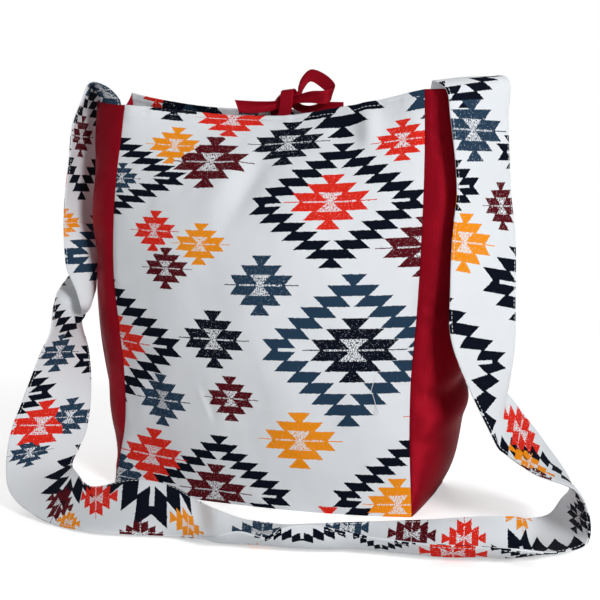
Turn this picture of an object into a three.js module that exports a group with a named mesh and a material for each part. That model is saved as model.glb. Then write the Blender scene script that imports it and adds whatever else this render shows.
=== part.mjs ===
// A soft cloth crossbody bag that stands filled out on its flat base.
// Six cut pieces are sewn edge to edge: a printed front and back, two plain side
// gussets, a base and one long printed strap. Two ribbons tie the mouth shut.
// Millimetres, +Z up, the front faces -Y, the origin is under the middle of the base.
import * as THREE from 'three';

// Main sizes of the bag
const PANEL_WIDTH = 300;     // front panel, from side seam to side seam
const SIDE_HEIGHT = 383;     // base to the top of a gusset
const BASE_DEPTH = 130;      // base, front to back
const CLOTH = 1.6;           // walls and base
const HEM_WIDTH = 13;        // turned-over top edge of the front and back
const HEM_EXTRA = 0.9;       // what the turned-over layer adds to the cloth
const HEM_STEP = 1.5;        // height of the step down from the hem to the single cloth
const SEAM_GAP = 0.3;        // the line of a seam between two sewn pieces

// Strap
const STRAP_WIDTH = 75;
const STRAP_THICKNESS = 2.4; // two layers, topstitched
const STRAP_INSET = 6;       // from the front seam to the strap, along the gusset's top
const STRAP_STAND = 3;       // how far the sewn end stands straight up from the gusset
const STRAP_SEAT = 1.2;      // from the floor to the strap that lies on it
const STRAP_FOLDS = 3;       // steps between two stations of the strap

// Ties
const TIE_WIDTH = 13;
const TIE_THICKNESS = 1;
const TIE_OFFSET = 10;       // from the middle of the mouth to the knot
const TIE_SEAT = 0.5;        // from a flat tie to the curved hem under it
const TIE_TAB = 7;           // length of the front tie that is sewn to the hem
const KNOT_WIDTH = 8;        // gathered width of a ribbon inside the knot
const KNOT_RISE = 17;        // from the front hem's middle to the middle of the knot
const KNOT_DEPTH = 6;        // from the middle of the knot to the wrap
const TAIL_RIGHT = 55;       // from the knot to the tip of the front tie
const TAIL_LEFT = 49;        // from the knot to the tip of the back tie
const TAIL_DROP = 10;        // from the middle of the knot down to the right tail
const LOOP_REACH = 47;       // from the knot to the far end of the loop
const LOOP_RISE = 22;        // from the knot to the top of the loop

// How the filled bag stands, by height (0 base, 1 top): how far each wall swells,
// and how far the ties pull the middle of the front and back together
const FRONT_BULGE = [[0, 20], [0.2, 32], [0.5, 36], [0.75, 26], [0.9, 12], [1, 4]];
const BACK_BULGE = [[0, 6], [0.2, 18], [0.5, 22], [0.75, 15], [0.9, 7], [1, 2]];
const FRONT_PULL = [[0, 0], [0.6, 0], [0.75, 2], [0.9, 12], [1, 24]];
const BACK_PULL = [[0, 0], [0.6, 0], [0.75, 2], [0.9, 14], [1, 28]];
const LEFT_BOW = [[0, 1], [0.08, 13], [0.2, 26], [0.35, 33.5], [0.5, 32], [0.7, 31.5], [0.85, 32], [1, 31]];
const RIGHT_BOW = [[0, 1], [0.08, 20], [0.2, 32], [0.35, 38], [0.5, 41], [0.7, 42], [0.85, 40], [1, 36]];
const FRONT_SAG = 20;        // dip of the front hem between its corners
const BACK_SAG = 12;         // dip of the back hem
const FRONT_LEFT_DIP = 6;    // the strap's slack pulls the front left corner of the mouth down
const BACK_LEFT_LIFT = 13;   // and leaves the back left corner standing up

// The four upright seams: how far each stands off its corner of the cut box, by height
const FRONT_LEFT_X = [[0, -3], [0.08, 3], [0.15, 8], [0.3, 7.5], [0.43, 1], [0.55, -4.5], [0.68, -5.5],
  [0.83, -2], [0.92, 2.5], [1, 6]];
const FRONT_LEFT_Y = [[0, 15], [0.25, 18], [0.5, 22], [0.75, 27], [1, 31]];
const FRONT_RIGHT_X = [[0, 3], [0.2, -2], [0.3, -2.5], [0.46, 1], [0.67, 4], [0.87, 5], [1, 4]];
const FRONT_RIGHT_Y = [[0, -5], [0.25, 9], [0.5, 19], [0.75, 26], [1, 30]];
const BACK_LEFT_X = [[0, -4], [0.25, -5], [0.5, -7], [0.75, -12], [1, -20]];
const BACK_LEFT_Y = [[0, 1], [0.25, -11], [0.5, -19], [0.75, -26], [1, -31]];
const BACK_RIGHT_X = [[0, 7], [0.25, 9], [0.5, 11], [0.75, 18], [1, 26]];
const BACK_RIGHT_Y = [[0, -5], [0.25, -13], [0.5, -19], [0.75, -26], [1, -31]];

// Smooth curve through a table of [position, value], with slopes from the neighbours.
function curve(table) {
  const x = table.map((p) => p[0]);
  const y = table.map((p) => p[1]);
  const last = x.length - 1;
  const slope = x.map((_, i) => {
    if (i === 0) return (y[1] - y[0]) / (x[1] - x[0]);
    if (i === last) return (y[last] - y[last - 1]) / (x[last] - x[last - 1]);
    const before = x[i] - x[i - 1];
    const after = x[i + 1] - x[i];
    return (before * before * y[i + 1] + (after * after - before * before) * y[i] - after * after * y[i - 1])
      / (before * after * (before + after));
  });
  return (t) => {
    let i = 0;
    while (i < last - 1 && t >= x[i + 1]) i += 1;
    const span = x[i + 1] - x[i];
    const s = (t - x[i]) / span;
    const s2 = s * s;
    const s3 = s2 * s;
    return (2 * s3 - 3 * s2 + 1) * y[i] + (s3 - 2 * s2 + s) * span * slope[i]
      + (3 * s2 - 2 * s3) * y[i + 1] + (s3 - s2) * span * slope[i + 1];
  };
}

const vec = (x, y, z) => new THREE.Vector3(x, y, z);
const mix = (a, b, s) => a.clone().lerp(b, s);

// An upright seam line, from the base to the mouth.
function seam(side, end, dx, dy) {
  const x = curve(dx);
  const y = curve(dy);
  return (t) => vec(side * PANEL_WIDTH / 2 + x(t), end * BASE_DEPTH / 2 + y(t), SIDE_HEIGHT * t);
}
const frontLeft = seam(-1, -1, FRONT_LEFT_X, FRONT_LEFT_Y);
const frontRight = seam(1, -1, FRONT_RIGHT_X, FRONT_RIGHT_Y);
const backLeft = seam(-1, 1, BACK_LEFT_X, BACK_LEFT_Y);
const backRight = seam(1, 1, BACK_RIGHT_X, BACK_RIGHT_Y);

const frontBulge = curve(FRONT_BULGE);
const backBulge = curve(BACK_BULGE);
const frontPull = curve(FRONT_PULL);
const backPull = curve(BACK_PULL);
const leftBow = curve(LEFT_BOW);
const rightBow = curve(RIGHT_BOW);
const hump = (u, power) => Math.max(0, 1 - Math.abs(2 * u - 1) ** power);
const bow = (v) => Math.sin(Math.PI * Math.max(0, v) ** FORWARD);
const ROUND = 2.4;           // a wall swells in a full, flat-topped curve
const FORWARD = 0.75;        // a gusset bows out most nearer to its front seam
const PEAKED = 1.5;          // a hem is pulled in to a point by its tie
const CORNER = 5;            // a corner's dip or lift soon fades out along the hem

// The four walls as one closed skin: p runs 0 to 1 along the front, to 2 along the right gusset,
// to 3 along the back and to 4 along the left gusset; t runs up from the base.
function wall(p, t) {
  const q = ((p % 4) + 4) % 4;
  const s = q - Math.floor(q);
  if (q < 1) {
    const at = mix(frontLeft(t), frontRight(t), s);
    at.y -= frontBulge(t) * hump(s, ROUND) - frontPull(t) * hump(s, PEAKED);
    at.z -= (FRONT_SAG * hump(s, PEAKED) + FRONT_LEFT_DIP * (1 - s) ** CORNER) * t ** 3;
    return at;
  }
  if (q < 2) {
    const at = mix(frontRight(t), backRight(t), s);
    at.x += rightBow(t) * bow(s);
    return at;
  }
  if (q < 3) {
    const at = mix(backRight(t), backLeft(t), s);
    at.y += backBulge(t) * hump(s, ROUND) - backPull(t) * hump(s, PEAKED);
    at.z -= (BACK_SAG * hump(s, PEAKED) - BACK_LEFT_LIFT * s ** CORNER) * t ** 3;
    return at;
  }
  const at = mix(backLeft(t), frontLeft(t), s);
  at.x -= leftBow(t) * bow(1 - s);
  at.z += (BACK_LEFT_LIFT * (1 - s) - FRONT_LEFT_DIP * s) * t ** 3;
  return at;
}

// Outward direction of the skin; across a seam it is the mitre of the two walls.
function wallNormal(p, t) {
  const dp = wall(p + 0.02, t).sub(wall(p - 0.02, t));
  const dt = wall(p, Math.min(1, t + 0.01)).sub(wall(p, Math.max(0, t - 0.01)));
  return dp.cross(dt).normalize();
}

// Closed cloth solid from a grid of middle points, outward directions and thicknesses.
function clothSolid(rows) {
  const high = rows.length;
  const wide = rows[0].length;
  const position = [];
  for (const side of [1, -1]) {
    for (const row of rows) {
      for (const { at, out, thick } of row) {
        const point = at.clone().addScaledVector(out, side * thick / 2);
        position.push(point.x, point.y, point.z);
      }
    }
  }
  const index = [];
  const id = (i, j, side) => side * high * wide + i * wide + j;
  const quad = (a, b, c, d) => index.push(a, b, c, a, c, d);
  for (let i = 0; i < high - 1; i += 1) {
    for (let j = 0; j < wide - 1; j += 1) {
      quad(id(i, j, 0), id(i, j + 1, 0), id(i + 1, j + 1, 0), id(i + 1, j, 0));
      quad(id(i, j, 1), id(i + 1, j, 1), id(i + 1, j + 1, 1), id(i, j + 1, 1));
    }
  }
  for (let j = 0; j < wide - 1; j += 1) {
    quad(id(0, j, 1), id(0, j + 1, 1), id(0, j + 1, 0), id(0, j, 0));
    quad(id(high - 1, j, 0), id(high - 1, j + 1, 0), id(high - 1, j + 1, 1), id(high - 1, j, 1));
  }
  for (let i = 0; i < high - 1; i += 1) {
    quad(id(i, 0, 0), id(i + 1, 0, 0), id(i + 1, 0, 1), id(i, 0, 1));
    quad(id(i, wide - 1, 1), id(i + 1, wide - 1, 1), id(i + 1, wide - 1, 0), id(i, wide - 1, 0));
  }
  const geometry = new THREE.BufferGeometry();
  geometry.setAttribute('position', new THREE.Float32BufferAttribute(position, 3));
  geometry.setIndex(index);
  geometry.computeVertexNormals();
  return geometry;
}

const group = new THREE.Group();
group.name = 'crossbody_bag';
function add(name, geometry, color, roughness) {
  const material = new THREE.MeshStandardMaterial({ color, roughness, metalness: 0 });
  const mesh = new THREE.Mesh(geometry, material);
  mesh.name = name;
  group.add(mesh);
}
const PRINT = 0xdfe4e8;
const CRIMSON = 0x960e20;
const COTTON = 0.8;          // roughness of the printed cotton
const SATEEN = 0.6;          // of the gussets' sateen
const SATIN = 0.45;          // of the ribbons

// How finely the curved cloth is cut up: steps across and up
const PANEL_STEPS = 22;
const GUSSET_STEPS = 12;
const UPRIGHT_STEPS = 18;
const BASE_STEPS = 6;
const TIE_STEPS = 3;

// One wall: a cut piece between two seams, from the base's top up to the mouth.
// A hemmed wall has a second layer of cloth along its top edge.
function wallSolid(side, across, hemmed) {
  const chord = wall(side + 0.001, 0.5).distanceTo(wall(side + 0.999, 0.5));
  const gap = SEAM_GAP / 2 / chord;
  const low = (CLOTH + SEAM_GAP) / SIDE_HEIGHT;
  const hemLine = 1 - HEM_WIDTH / SIDE_HEIGHT;
  const levels = [];
  for (let i = 0; i <= UPRIGHT_STEPS; i += 1) levels.push(low + (hemLine - low) * i / UPRIGHT_STEPS);
  levels.push(hemLine + HEM_STEP / SIDE_HEIGHT, (hemLine + 1) / 2, 1);
  return clothSolid(levels.map((t) => {
    const row = [];
    for (let j = 0; j <= across; j += 1) {
      const p = side + gap + (1 - 2 * gap) * j / across;
      const thick = CLOTH + (hemmed && t > hemLine ? HEM_EXTRA : 0);
      row.push({ at: wall(p, t), out: wallNormal(p, t), thick });
    }
    return row;
  }));
}
add('front_panel', wallSolid(0, PANEL_STEPS, true), PRINT, COTTON);
add('back_panel', wallSolid(2, PANEL_STEPS, true), PRINT, COTTON);
add('right_gusset', wallSolid(1, GUSSET_STEPS, false), CRIMSON, SATEEN);
add('left_gusset', wallSolid(3, GUSSET_STEPS, false), CRIMSON, SATEEN);

// Base: a flat piece whose outline is the foot of the four walls.
function foot(p) {
  const out = wallNormal(p, 0).setZ(0).normalize();
  return wall(p, 0).addScaledVector(out, CLOTH / 2).setZ(CLOTH / 2);
}
function basePoint(u, v) {
  const front = foot(u);
  const back = foot(3 - u);
  const right = foot(1 + v);
  const left = foot(4 - v);
  const along = mix(front, back, v);
  const across = mix(left, right, u);
  const corners = mix(mix(foot(0), foot(1), u), mix(foot(3), foot(2), u), v);
  return along.add(across).sub(corners);
}
const baseRows = [];
for (let i = 0; i <= BASE_STEPS; i += 1) {
  const row = [];
  for (let j = 0; j <= PANEL_STEPS; j += 1) {
    row.push({ at: basePoint(j / PANEL_STEPS, i / BASE_STEPS), out: vec(0, 0, 1), thick: CLOTH });
  }
  baseRows.push(row);
}
add('base_panel', clothSolid(baseRows), PRINT, COTTON);

// Ribbon solid: each rail is a row of points along the ribbon; smooth curves run through them.
function ribbonSolid(rails, steps, thick) {
  const curves = rails.map((points) => new THREE.CatmullRomCurve3(points, false, 'centripetal'));
  const spans = rails[0].length - 1;
  const count = spans * steps;
  const grid = [];
  for (let i = 0; i <= count; i += 1) grid.push(curves.map((c) => c.getPoint(i / count)));
  const wide = rails.length;
  return clothSolid(grid.map((row, i) => row.map((at, j) => {
    const along = grid[Math.min(count, i + 1)][j].clone().sub(grid[Math.max(0, i - 1)][j]);
    const across = row[Math.min(wide - 1, j + 1)].clone().sub(row[Math.max(0, j - 1)]);
    return { at, out: across.cross(along).normalize(), thick };
  })));
}

// Strap: stations along it, each a middle point and the direction from its front edge to its back edge.
// A station is placed from the bag's side, front and height: [x off the side, y off the front, share of
// the height, z] and the direction across. Where the strap is cupped, as where it folds over beside the left
// gusset, a station also has the degrees that its two halves bend.
const STRAP_RIGHT = [
  [[38.5, 52.5, 1, 10.5], [52, 53, 8]],
  [[49, 48.5, 1, 4.5], [48, 57, 12]],
  [[51.5, 47, 0.934, 0], [43, 62, 1]],
  [[56, 49.5, 0.767, 0], [39, 64, 2]],
  [[58, 42, 0.657, 0], [48, 57, -8]],
  [[59, 32.5, 0.524, 0], [51, 54, -14]],
  [[61, 25, 0.402, 0], [48, 56, -13]],
  [[78.5, 14, 0.255, 0], [4, 62, 32]],
  [[81, 12.5, 0.235, 0], [-2, 63, 38]],
  [[85, 11, 0.226, 0], [-2, 64, 35]],
  [[114.5, 1, 0.16, 0], [1, 72, 11]],
  [[144, -5, 0.1, 0], [-10, 72, -13]],
  [[146.5, -24.5, 0.062, 0], [-29, 71, -1]],
  [[141.5, -35.5, 0.031, 0], [-35, 67, 3]],
];
// On the floor the strap lies cupped: each half of it bends up from the middle. A station there is
// [x off the side, y off the front], the direction across and the degrees that the two halves bend.
const STRAP_FLOOR = [
  [[123, -55], [-40, 91], [15, 35]],
  [[103.5, -86.5], [-20, 98], [46, 85]],
  [[72, -97.5], [-13, 99], [54, 85]],
  [[43.5, -104], [-12, 99], [56, 65]],
  [[11, -103], [-13, 99], [56, 42]],
  [[-21, -108], [-17, 98], [69, 31]],
  [[-55, -121], [-20, 98], [101, 28]],
];
const STRAP_LEFT_FLOOR = [
  [[222, -122], [-25, 97], [81, 18]],
  [[206, -116], [-28, 96], [44, 12]],
  [[183, -120.5], [-33, 94], [56, 23]],
  [[162, -120], [-37, 93], [40, 46]],
  [[139, -105], [-40, 91], [15, 56]],
];
const STRAP_LEFT = [
  [[110, -99, 0, 15.5], [-31, 65, 25]],
  [[75.5, -106, 0, 17.9], [-25, 64, 29]],
  [[38.5, -109, 0, 13.4], [-33, 64, 20]],
  [[-1, -90.5, 0.042, 0], [-8, 63, 24]],
  [[-37.5, -64, 0.064, 0], [23, 62, 13]],
  [[-47.5, -44.5, 0.104, 0], [41, 57, 6]],
  [[-51.5, -26, 0.159, 0], [47, 52, -8]],
  [[-53.5, -8.5, 0.228, 0], [39, 55, 3]],
  [[-56.5, 17, 0.35, 0], [9, 66, -8]],
  [[-61, 26.5, 0.398, 0], [-6, 75, 0]],
  [[-55, 40.5, 0.467, 0], [56, 50, 0], [70, 195]],
  [[-47, 56.5, 0.505, 0], [67, -34, 0], [75, 140]],
  [[-43, 58.5, 0.562, 0], [17, -73, 0], [110, 105]],
  [[-48.5, 65.5, 0.615, 0], [0, -75, 0], [60, 60]],
  [[-57.5, 70.5, 0.673, 0], [-5, -75, 0], [10, 20]],
  [[-62.5, 71, 0.742, 0], [-3, -75, 0]],
  [[-61.5, 70.5, 0.846, 0], [0, -75, 0], [-10, -10]],
  [[-57, 68, 0.944, 0], [2, -75, 0], [-15, -15]],
  [[-51, 67, 1, -1], [8, -75, 0], [-12, -18]],
  [[-43, 66.5, 1, 16.5], [13, -74, 0], [-12, -16]],
  [[-39, 58, 1, 12], [28, -70, 0], [-30, -45]],
];
const RAILS = [-0.5, -0.37, -0.2, 0, 0.17, 0.34, 0.5]; // lines along the strap, in shares of its width
const RIGHT_SEAM = 1;        // place of the front right seam round the walls
const LEFT_SEAM = 3.9999;    // and of the front left seam, on the gusset's side of it
const EDGE_STEP = 0.002;     // share of a gusset's width between two points of its top edge
const UP = vec(0, 0, 1);
// A row of points across the strap: each half leaves the middle in an arc that bends toward one side.
function bentRow(at, direction, toward, [front, back]) {
  return RAILS.map((w) => {
    const bend = THREE.MathUtils.degToRad(w < 0 ? front : back);
    const radius = bend ? STRAP_WIDTH / 2 / bend : 0;
    const reach = bend ? radius * Math.sin(2 * w * bend) : w * STRAP_WIDTH;
    const rise = radius * (1 - Math.cos(2 * w * bend));
    return at.clone().addScaledVector(direction, reach).addScaledVector(toward, rise);
  });
}
function strapStations(side, table) {
  return table.map(([[dx, dy, share, dz], across, bends = [0, 0]]) => {
    const at = vec(side * PANEL_WIDTH / 2 + dx, -BASE_DEPTH / 2 + dy, share * SIDE_HEIGHT + dz);
    const direction = vec(...across).normalize();
    return bentRow(at, direction, direction.clone().cross(UP), bends);
  });
}
function floorStations(side, table) {
  return table.map(([[dx, dy], across, bends]) => {
    const at = vec(side * PANEL_WIDTH / 2 + dx, -BASE_DEPTH / 2 + dy, STRAP_THICKNESS / 2 + STRAP_SEAT);
    return bentRow(at, vec(...across, 0).normalize(), UP, bends);
  });
}
// The sewn end follows the curved top edge of a gusset, measured back from its front seam. The strap has turned
// over once by the time it reaches the left gusset, so its other edge is in front there.
function strapEnd(seamAt, direction, rise) {
  const order = direction > 0 ? RAILS : [...RAILS].reverse();
  const points = [];
  let walked = 0;
  let before = wall(seamAt, 1);
  let s = 0;
  for (const w of order) {
    const target = STRAP_INSET + (0.5 + direction * w) * STRAP_WIDTH;
    while (walked < target && s < 1) {
      s += EDGE_STEP;
      const next = wall(seamAt + direction * s, 1);
      walked += next.distanceTo(before);
      before = next;
    }
    points.push(before.clone().add(vec(0, 0, SEAM_GAP + rise)));
  }
  return direction > 0 ? points : points.reverse();
}
const strapRows = [
  strapEnd(RIGHT_SEAM, 1, 0),
  strapEnd(RIGHT_SEAM, 1, STRAP_STAND),
  ...strapStations(1, STRAP_RIGHT),
  ...floorStations(1, STRAP_FLOOR),
  ...floorStations(-1, STRAP_LEFT_FLOOR),
  ...strapStations(-1, STRAP_LEFT),
  strapEnd(LEFT_SEAM, -1, STRAP_STAND),
  strapEnd(LEFT_SEAM, -1, 0),
];
const strapRails = RAILS.map((_, j) => strapRows.map((row) => row[j]));
add('shoulder_strap', ribbonSolid(strapRails, STRAP_FOLDS, STRAP_THICKNESS), PRINT, COTTON);

// Ties: the knot stands over the middle of the mouth, between the two hems.
const hemThick = CLOTH + HEM_EXTRA;
const lift = hemThick / 2 + TIE_THICKNESS / 2 + TIE_SEAT;
const shareOfWidth = 0.5 + TIE_OFFSET / PANEL_WIDTH;
const frontHem = wall(shareOfWidth, 1);
const backHem = wall(3 - shareOfWidth, 1);
const knot = vec(frontHem.x, (frontHem.y + backHem.y) / 2, frontHem.z + KNOT_RISE);
function tieRails(stations) {
  return [-0.5, 0.5].map((w) => stations.map(([at, across, width]) => (
    at.clone().addScaledVector(vec(...across).normalize(), w * width))));
}
const byKnot = (x, y, z) => vec(knot.x + x, knot.y + y, knot.z + z);

// Front tie: sewn to the outside of the front hem, over the edge, once round the knot and off to the right.
const onHem = (p, t, side) => wall(p, t).addScaledVector(wallNormal(p, t), side * lift);
const alongHem = (p, t) => wall(p + 0.02, t).sub(wall(p - 0.02, t)).toArray();
const tabShare = 1 - TIE_TAB / SIDE_HEIGHT;
const frontTie = [
  [onHem(shareOfWidth, tabShare, 1), alongHem(shareOfWidth, tabShare), TIE_WIDTH],
  [onHem(shareOfWidth, 1, 1), alongHem(shareOfWidth, 1), TIE_WIDTH],
  [mix(onHem(shareOfWidth, 1, 1), byKnot(0, -KNOT_DEPTH, -4), 0.6), [1, 0, 0], TIE_WIDTH],
  [byKnot(0, -KNOT_DEPTH, 1), [1, 0, 0], TIE_WIDTH],
  [byKnot(0, -0.7 * KNOT_DEPTH, 7), [1, 0, 0], TIE_WIDTH],
  [byKnot(0, 0, 9.5), [1, 0, 0.1], TIE_WIDTH],
  [byKnot(0.5, 0.75 * KNOT_DEPTH, 7), [1, 0, 0.2], TIE_WIDTH],
  [byKnot(1.5, KNOT_DEPTH, 1), [1, 0, 0.4], TIE_WIDTH],
  [byKnot(0.13 * TAIL_RIGHT, KNOT_DEPTH, -0.6 * TAIL_DROP), [0.75, 0, 0.65], KNOT_WIDTH],
  [byKnot(0.35 * TAIL_RIGHT, 0.6 * KNOT_DEPTH, -TAIL_DROP), [0.3, 0, 0.95], KNOT_WIDTH],
  [byKnot(0.65 * TAIL_RIGHT, 0, -0.9 * TAIL_DROP), [0, 0.2, 1], 0.85 * TIE_WIDTH],
  [byKnot(TAIL_RIGHT, -0.3 * KNOT_DEPTH, -TAIL_DROP), [0, 0.3, 1], TIE_WIDTH],
];
add('front_tie', ribbonSolid(tieRails(frontTie), TIE_STEPS, TIE_THICKNESS), CRIMSON, SATIN);

// Back tie: sewn to the inside of the back hem, through the knot, round one loop and out to the left.
const backShare = 3 - shareOfWidth + TIE_WIDTH / PANEL_WIDTH;
const backTie = [
  [onHem(backShare, tabShare, -1), alongHem(backShare, tabShare).map((d) => -d), TIE_WIDTH],
  [onHem(backShare, 1, -1), alongHem(backShare, 1).map((d) => -d), TIE_WIDTH],
  [byKnot(-0.22 * TAIL_LEFT, 0.75 * KNOT_DEPTH, 0), [0.8, 0, -0.6], KNOT_WIDTH],
  [byKnot(-0.12 * TAIL_LEFT, 0.42 * KNOT_DEPTH, 0.14 * LOOP_RISE), [0.5, 0, -0.85], KNOT_WIDTH],
  [byKnot(0, 0.27 * KNOT_DEPTH, 0.15 * LOOP_RISE), [0, 0, -1], KNOT_WIDTH],
  [byKnot(0.19 * LOOP_REACH, 0.33 * KNOT_DEPTH, 0.2 * LOOP_RISE), [0, 0, -1], KNOT_WIDTH],
  [byKnot(0.25 * LOOP_REACH, 0.83 * KNOT_DEPTH, 0.68 * LOOP_RISE), [0.35, -0.3, -0.88], 0.85 * TIE_WIDTH],
  [byKnot(0.41 * LOOP_REACH, 1.33 * KNOT_DEPTH, 1.05 * LOOP_RISE), [0.1, -0.35, -0.93], TIE_WIDTH],
  [byKnot(0.68 * LOOP_REACH, 1.1 * KNOT_DEPTH, 0.82 * LOOP_RISE), [-0.35, -0.3, -0.88], TIE_WIDTH],
  [byKnot(0.95 * LOOP_REACH, -0.2 * KNOT_DEPTH, 0.25 * LOOP_RISE), [-0.3, -0.1, -0.95], TIE_WIDTH],
  [byKnot(0.85 * LOOP_REACH, -1.5 * KNOT_DEPTH, 0.02 * LOOP_RISE), [0, 0.1, -1], TIE_WIDTH],
  [byKnot(0.55 * LOOP_REACH, -1.33 * KNOT_DEPTH, 0.05 * LOOP_RISE), [0, 0.1, -1], 0.85 * TIE_WIDTH],
  [byKnot(0.23 * LOOP_REACH, -0.5 * KNOT_DEPTH, 0), [0, 0, -1], KNOT_WIDTH],
  [byKnot(0, -0.37 * KNOT_DEPTH, -0.1 * TAIL_DROP), [0, 0, -1], KNOT_WIDTH],
  [byKnot(-0.22 * TAIL_LEFT, -0.67 * KNOT_DEPTH, -0.5 * TAIL_DROP), [0, 0, -1], KNOT_WIDTH],
  [byKnot(-0.53 * TAIL_LEFT, -1.33 * KNOT_DEPTH, -0.7 * TAIL_DROP), [0.1, 0.1, -1], 0.85 * TIE_WIDTH],
  [byKnot(-TAIL_LEFT, -1.83 * KNOT_DEPTH, -0.6 * TAIL_DROP), [0.3, 0.1, -0.95], TIE_WIDTH],
];
add('back_tie', ribbonSolid(tieRails(backTie), TIE_STEPS, TIE_THICKNESS), CRIMSON, SATIN);

export default group;
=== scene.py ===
import bpy
import numpy as np
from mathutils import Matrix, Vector


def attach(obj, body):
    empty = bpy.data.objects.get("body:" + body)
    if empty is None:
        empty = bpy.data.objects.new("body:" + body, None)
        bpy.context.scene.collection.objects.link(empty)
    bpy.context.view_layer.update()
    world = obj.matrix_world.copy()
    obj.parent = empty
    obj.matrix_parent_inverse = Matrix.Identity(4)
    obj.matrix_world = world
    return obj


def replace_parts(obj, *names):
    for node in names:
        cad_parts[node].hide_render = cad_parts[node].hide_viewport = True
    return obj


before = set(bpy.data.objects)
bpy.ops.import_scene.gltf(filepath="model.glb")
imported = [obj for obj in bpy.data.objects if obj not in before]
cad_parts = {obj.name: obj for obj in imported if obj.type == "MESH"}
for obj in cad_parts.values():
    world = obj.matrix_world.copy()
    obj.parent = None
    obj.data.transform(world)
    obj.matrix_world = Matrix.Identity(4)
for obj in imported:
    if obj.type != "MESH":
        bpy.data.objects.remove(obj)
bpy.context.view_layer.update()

# Front panel: a rectangle of white cotton printed with stepped medallions and rings, cut in one piece. It is
# sewn to a gusset down each side and to the base along its foot; its top edge is turned over and stitched as
# a hem. The filled bag swells it out, and the tie pulls the middle of its hem in and down.
PANEL_WIDTH = 300.0          # millimetres, as every size here until a mesh is made
SIDE_HEIGHT = 383.0
BASE_DEPTH = 130.0
CLOTH = 1.6
HEM_WIDTH = 13.0
HEM_EXTRA = 0.9              # what the turned-over layer adds to the cloth
HEM_STITCH = 5.5             # the stitches, below the top edge
FRONT_CUT = (325.0, SIDE_HEIGHT)     # the flat piece between its seams
FRONT_BULGE = [(0, 20), (0.2, 32), (0.5, 36), (0.75, 26), (0.9, 12), (1, 4)]
FRONT_PULL = [(0, 0), (0.6, 0), (0.75, 2), (0.9, 12), (1, 24)]
FRONT_SAG = 20.0
FRONT_LEFT_DIP = 6.0
FRONT_LEFT_X = [(0, -3), (0.08, 3), (0.15, 8), (0.3, 7.5), (0.43, 1), (0.55, -4.5), (0.68, -5.5), (0.83, -2),
                (0.92, 2.5), (1, 6)]
FRONT_LEFT_Y = [(0, 15), (0.25, 18), (0.5, 22), (0.75, 27), (1, 31)]
FRONT_RIGHT_X = [(0, 3), (0.2, -2), (0.3, -2.5), (0.46, 1), (0.67, 4), (0.87, 5), (1, 4)]
FRONT_RIGHT_Y = [(0, -5), (0.25, 9), (0.5, 19), (0.75, 26), (1, 30)]


def curve(table, t):
    """Smooth curve through (position, value) rows: a cubic per span, its slopes from the neighbours."""
    x, y = np.array(table, float).T
    slope = np.gradient(y, x)
    i = np.clip(np.searchsorted(x, t, side="right") - 1, 0, len(x) - 2)
    span = x[i + 1] - x[i]
    f = (t - x[i]) / span
    ends = (1 + 2 * f) * (1 - f) ** 2 * y[i] + f * f * (3 - 2 * f) * y[i + 1]
    return ends + span * (f * (1 - f) ** 2 * slope[i] - f * f * (1 - f) * slope[i + 1])


def seam_line(side, end, off_x, off_y, t):
    """Upright seam: a corner of the cut box at height t, moved by its two offset curves."""
    x = side * PANEL_WIDTH / 2 + curve(off_x, t)
    y = end * BASE_DEPTH / 2 + curve(off_y, t)
    return np.stack([x, y, SIDE_HEIGHT * t], -1)


def front_left(t):
    return seam_line(-1, -1, FRONT_LEFT_X, FRONT_LEFT_Y, t)


def front_right(t):
    return seam_line(1, -1, FRONT_RIGHT_X, FRONT_RIGHT_Y, t)


def hump(s, power):
    """Swelling between two seams: 1 - |2s - 1| to that power."""
    return np.clip(1 - np.abs(2 * s - 1) ** power, 0, None)


ROUND = 2.4                  # powers of a swelling: full and round,
PEAKED = 1.5                 # or peaked at its middle
CORNER = 5                   # power of a hem's slope towards its corner
TOWARDS_MOUTH = 3            # powers of the height: felt over the upper half,
AT_MOUTH = 8                 # or at the edge alone


def front_at(s, t):
    """Middle of the front's cloth, s from left seam to right seam, t from base to mouth: the line between
    the seams, out by a round hump, in and down at the hem by a peaked one, and down at the left corner."""
    at = front_left(t) + (front_right(t) - front_left(t)) * s[..., None]
    at[..., 1] -= curve(FRONT_BULGE, t) * hump(s, ROUND) - curve(FRONT_PULL, t) * hump(s, PEAKED)
    at[..., 2] -= (FRONT_SAG * hump(s, PEAKED) + FRONT_LEFT_DIP * (1 - s) ** CORNER) * t ** TOWARDS_MOUTH
    return at


EDGE = 2.2                   # width of the rounding along a piece's edge
EDGE_STEPS = np.array([0, 0.1, 0.35, 0.7])
EDGE_LEAST = 0.2             # share of the thickness at the very edge


def spaced(length, step):
    """Distances along a piece: even steps, and closer ones at both ends where the edge is rounded."""
    fine = EDGE * EDGE_STEPS
    even = np.linspace(EDGE, length - EDGE, int(round((length - 2 * EDGE) / step)) + 1)
    return np.concatenate([fine, even, length - fine[::-1]])


def rounded(distance, length):
    """Share of the full thickness at a distance along a piece: a quarter circle at each end."""
    lack = 1 - np.clip(np.minimum(distance, length - distance) / EDGE, 0, 1)
    return EDGE_LEAST + (1 - EDGE_LEAST) * np.sqrt(1 - lack ** 2)


FOLD_FADE = 1.5


def folds(u, v, rows):
    """Folds in a cloth: along each row's line from (u0, v0) to (u1, v1) the cloth rises by a height, as a
    bell of some width across the line that fades towards both ends."""
    total = np.zeros_like(u)
    for u0, v0, u1, v1, height, width in rows:
        du, dv = u1 - u0, v1 - v0
        long = np.hypot(du, dv)
        along = ((u - u0) * du + (v - v0) * dv) / long ** 2
        off = ((u - u0) * dv - (v - v0) * du) / long
        fade = np.clip(1 - (2 * along - 1) ** 2, 0, None) ** FOLD_FADE
        total += height * np.exp(-(off / width) ** 2) * fade
    return total


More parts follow.
